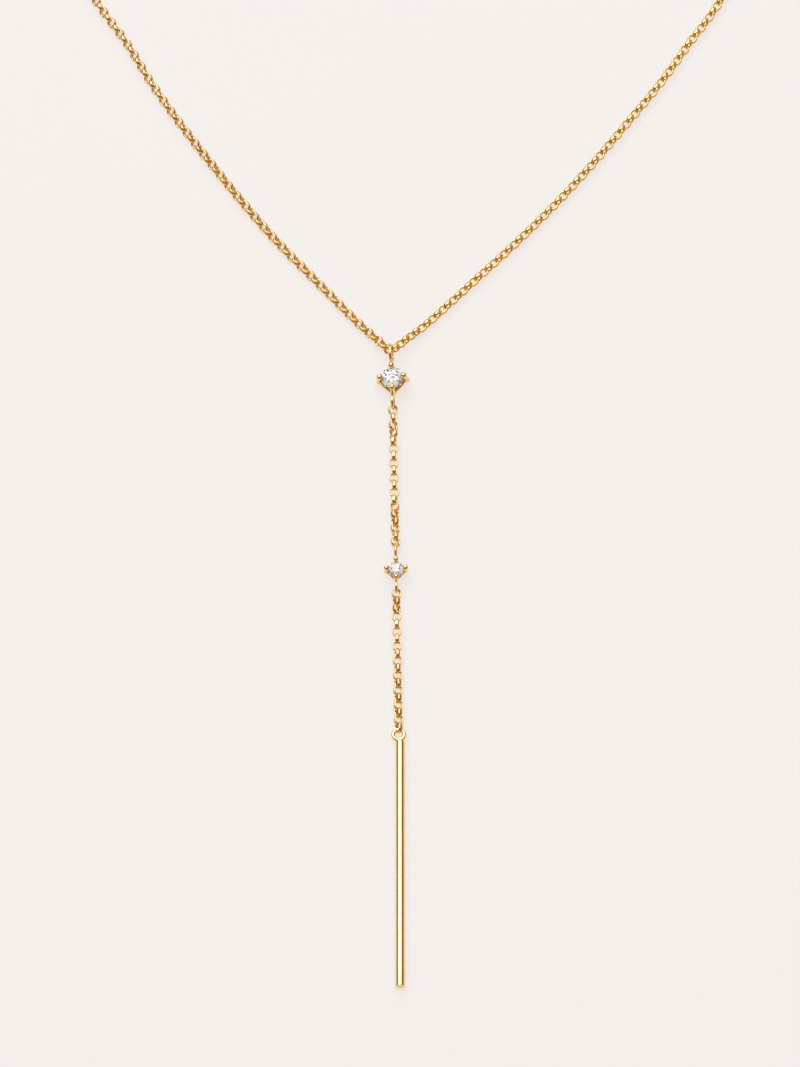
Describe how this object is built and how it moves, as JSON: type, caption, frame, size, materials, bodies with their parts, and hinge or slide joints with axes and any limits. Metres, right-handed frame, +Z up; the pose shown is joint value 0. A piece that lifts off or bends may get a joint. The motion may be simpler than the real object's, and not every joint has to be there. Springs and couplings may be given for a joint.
{
  "type": "y necklace",
  "caption": "Y necklace laid flat: fine rolo chain through a bail, two claw-set round stones and a plain round bar on a drop chain.",
  "frame": {"origin": "centre of the bounding box on the ground that the necklace lies on", "axes": "+Y from the bar's free end up the drop to the clasp, +Z up off the ground, +X to the right of the necklace seen from above with the clasp at the top"},
  "size_m": [0.1216, 0.2488, 0.0031],
  "materials": {
    "chain_gold": "polished yellow gold chain",
    "polished_gold": "polished yellow gold",
    "stone": "clear faceted stone"
  },
  "bodies": {
    "root": {"left_neck_chain": "chain_gold", "right_neck_chain": "chain_gold", "clasp": "polished_gold", "upper_setting": "polished_gold", "upper_stone": "stone", "upper_drop_chain": "chain_gold", "lower_setting": "polished_gold", "lower_stone": "stone", "lower_drop_chain": "chain_gold", "bar_pendant": "polished_gold"}
  },
  "joints": []
}
